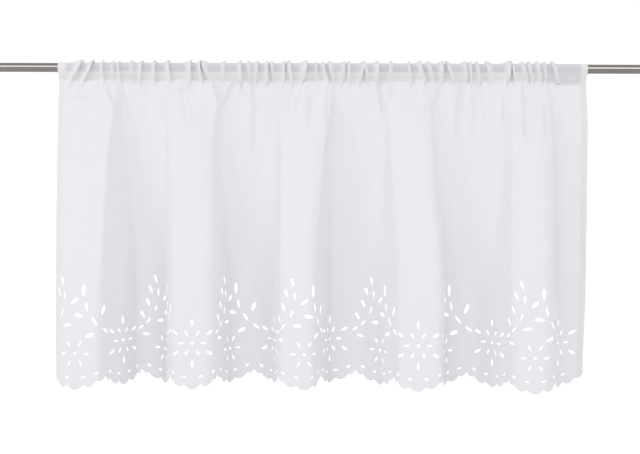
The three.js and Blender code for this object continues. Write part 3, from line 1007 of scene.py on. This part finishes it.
def voile_shader(tree):
    place = add_node(tree, "Attribute", output="Vector", attribute_name="flat_place")
    firm = add_node(tree, "Attribute", output="Fac", attribute_name="stitched")
    # Above 1 the value marks a sewn edge, which is painted darker as painted shade.
    sewn_edge_shade = (firm - 1.0).clipped()
    firm = firm.clipped()
    streaks = streaky(place, ALONG_WARP) + streaky(place, ALONG_WEFT) - 1.0
    relief = bump(VOILE["bump"], weave_height(place) + streaks * VOILE["slub_bump"] + firm * VOILE["layer_bump"])
    facing = add_node(tree, "LayerWeight", {"Blend": 0.5}, "Facing")
    gaps = VOILE["clear"] * (1 - VOILE["slub"] * streaks) * (1 - VOILE["closes"] * firm)
    open_share = gaps ** (1 / (VOILE["side_on"] - facing))
    # Layered cloth is painted whiter: painted light that stands in for the light scattered between the layers.
    layers = mix_colour(firm, VOILE["colour"], VOILE["layers_painted_light"])
    cloth = add_node(tree, "BsdfPrincipled", {
        "Base Color": mix_colour(sewn_edge_shade, layers, VOILE["painted_edge_shade"]), "Roughness": 0.9, "Specular IOR Level": 0.2,
        "Normal": relief,
    })
    glow = add_node(tree, "BsdfTranslucent", {"Color": VOILE["through"], "Normal": relief})
    threads = add_node(tree, "MixShader", {0: VOILE["glow"], 1: cloth, 2: glow})
    clear = add_node(tree, "BsdfTransparent")
    return add_node(tree, "MixShader", {0: open_share, 1: threads, 2: clear})


def thread_shader(tree):
    place = add_node(tree, "TexCoord", output="Object")
    twist = add_node(tree, "TexNoise", {"Vector": place, "Scale": 2500.0, "Detail": 2.0})
    return add_node(tree, "BsdfPrincipled", {
        "Base Color": mix_colour(twist, THREAD["dark"], THREAD["light"]), "Roughness": 0.7,
        "Normal": bump(THREAD["bump"], twist),
    })


dress(curtain, "sheer_voile", voile_shader)
dress(stitches, "sewing_thread", thread_shader)
print("voile lets", round(VOILE["clear"] * 100), "% of the light straight through")

# %% [markdown]
# ## Brushed nickel
#
# The rod is plated and brushed round its girth, which leaves hair-fine rings that blur its highlight along its
# length. A noise stretched round the rod gives the rings; it nudges the roughness and the bump. A broader noise
# adds the slight dulling that handling leaves.

# %% Brush the rod
NICKEL = {
    "colour": (0.37, 0.352, 0.338, 1), "dull": (0.3, 0.285, 0.274, 1), "dulling_share": 0.5, "rings_share": 0.3,
    "roughness": 0.11, "rougher": 0.08, "bump": 0.04,
}
RINGS, HANDLING = (6000, 40, 40), (30, 60, 60)  # to the metre along the rod and across it


def nickel_shader(tree):
    place = add_node(tree, "TexCoord", output="Object")
    rings, dulling = streaky(place, RINGS), streaky(place, HANDLING)
    dull = dulling * NICKEL["dulling_share"] + rings * NICKEL["rings_share"]
    return add_node(tree, "BsdfPrincipled", {
        "Base Color": mix_colour(dull, NICKEL["colour"], NICKEL["dull"]), "Metallic": 1.0,
        "Roughness": NICKEL["roughness"] + NICKEL["rougher"] * rings, "Normal": bump(NICKEL["bump"], rings),
    })


dress(rod, "brushed_nickel", nickel_shader)
print("rod roughness about", NICKEL["roughness"])

# %% [markdown]
# ## Floor, backdrop and light
#
# Sheer cloth shows what is behind it, so the backdrop is part of its colour. A pale floor curves up into a pale
# wall with no line between them, and the far part glows a little so that it stays even. Each half of the rod
# mirrors a tall window of light, which draws the bright line along it. A soft light from the left and a weaker one
# from the right shape the folds, and the pale room fills the rest.

# %% Build the studio
FLOOR_HEIGHT, FLOOR_FRONT = -1.1, -8.0
WALL_DISTANCE, WALL_TOP = 2.6, 6.0
CURVE, CURVE_STEPS = 0.8, 12
STAGE_WIDTH = 14.0
PAINT = {"grey": (0.72, 0.72, 0.72, 1), "glow_starts": 0.4, "glow_full": 1.7, "glow": 0.5}
ROOM_LIGHT = 0.6


def studio_sweep():
    """A floor that curves up into a wall, as one smooth sheet."""
    section = [(FLOOR_FRONT, FLOOR_HEIGHT), (WALL_DISTANCE - CURVE, FLOOR_HEIGHT)]
    for step in range(1, CURVE_STEPS + 1):
        turn = math.pi / 2 * step / CURVE_STEPS
        back = WALL_DISTANCE - CURVE + CURVE * math.sin(turn)
        section.append((back, FLOOR_HEIGHT + CURVE * (1 - math.cos(turn))))
    section.append((WALL_DISTANCE, WALL_TOP))
    points = [(side * STAGE_WIDTH / 2, back, height) for back, height in section for side in (-1, 1)]
    faces = [(2 * i, 2 * i + 1, 2 * i + 3, 2 * i + 2) for i in range(len(section) - 1)]
    return smooth_object("studio_floor", points, faces)


def paint_shader(tree):
    place = add_node(tree, "TexCoord", output="Object")
    back = add_node(tree, "SeparateXYZ", {0: place}, "Y")
    glow = add_node(tree, "MapRange", {
        "Value": back, "From Min": PAINT["glow_starts"], "From Max": PAINT["glow_full"],
    }, interpolation_type="SMOOTHSTEP")
    return add_node(tree, "BsdfPrincipled", {
        "Base Color": PAINT["grey"], "Roughness": 0.9, "Specular IOR Level": 0.1,
        "Emission Color": add_node(tree, "CombineXYZ", {0: glow, 1: glow, 2: glow}),
        "Emission Strength": PAINT["glow"],
    })


floor = studio_sweep()
dress(floor, "pale_paint", paint_shader)

LIGHTS = [
    # name, place, aims at, width and height (m), power (W)
    ("left_window", (-1.65, -2.6, 0.9), (-0.43, 0, 0), (1.1, 1.7), 11.0),
    ("right_window", (1.65, -2.6, 0.9), (0.43, 0, 0), (1.1, 1.7), 11.0),
    ("left_key", (-2.7, -1.5, 0.5), (0, 0, -0.25), (1.3, 1.3), 16.0),
    ("right_fill", (2.9, -1.3, 0.3), (0, 0, -0.25), (1.4, 1.4), 10.0),
]


def soft_light(name, place, target, size, power):
    data = bpy.data.lights.new(name, "AREA")
    data.shape = "RECTANGLE"
    data.size, data.size_y = size
    data.energy = power
    light = bpy.data.objects.new(name, data)
    light.location = place
    light.rotation_euler = (Vector(target) - Vector(place)).to_track_quat("-Z", "Y").to_euler()
    bpy.context.collection.objects.link(light)


for row in LIGHTS:
    soft_light(*row)

world = bpy.data.worlds.new("pale_room")
bpy.context.scene.world = world
world.use_nodes = True
background = world.node_tree.nodes["Background"]
background.inputs["Color"].default_value = (1, 1, 1, 1)
background.inputs["Strength"].default_value = ROOM_LIGHT
bpy.context.scene.view_settings.view_transform = "Standard"
print(len(LIGHTS), "lights in a pale room")
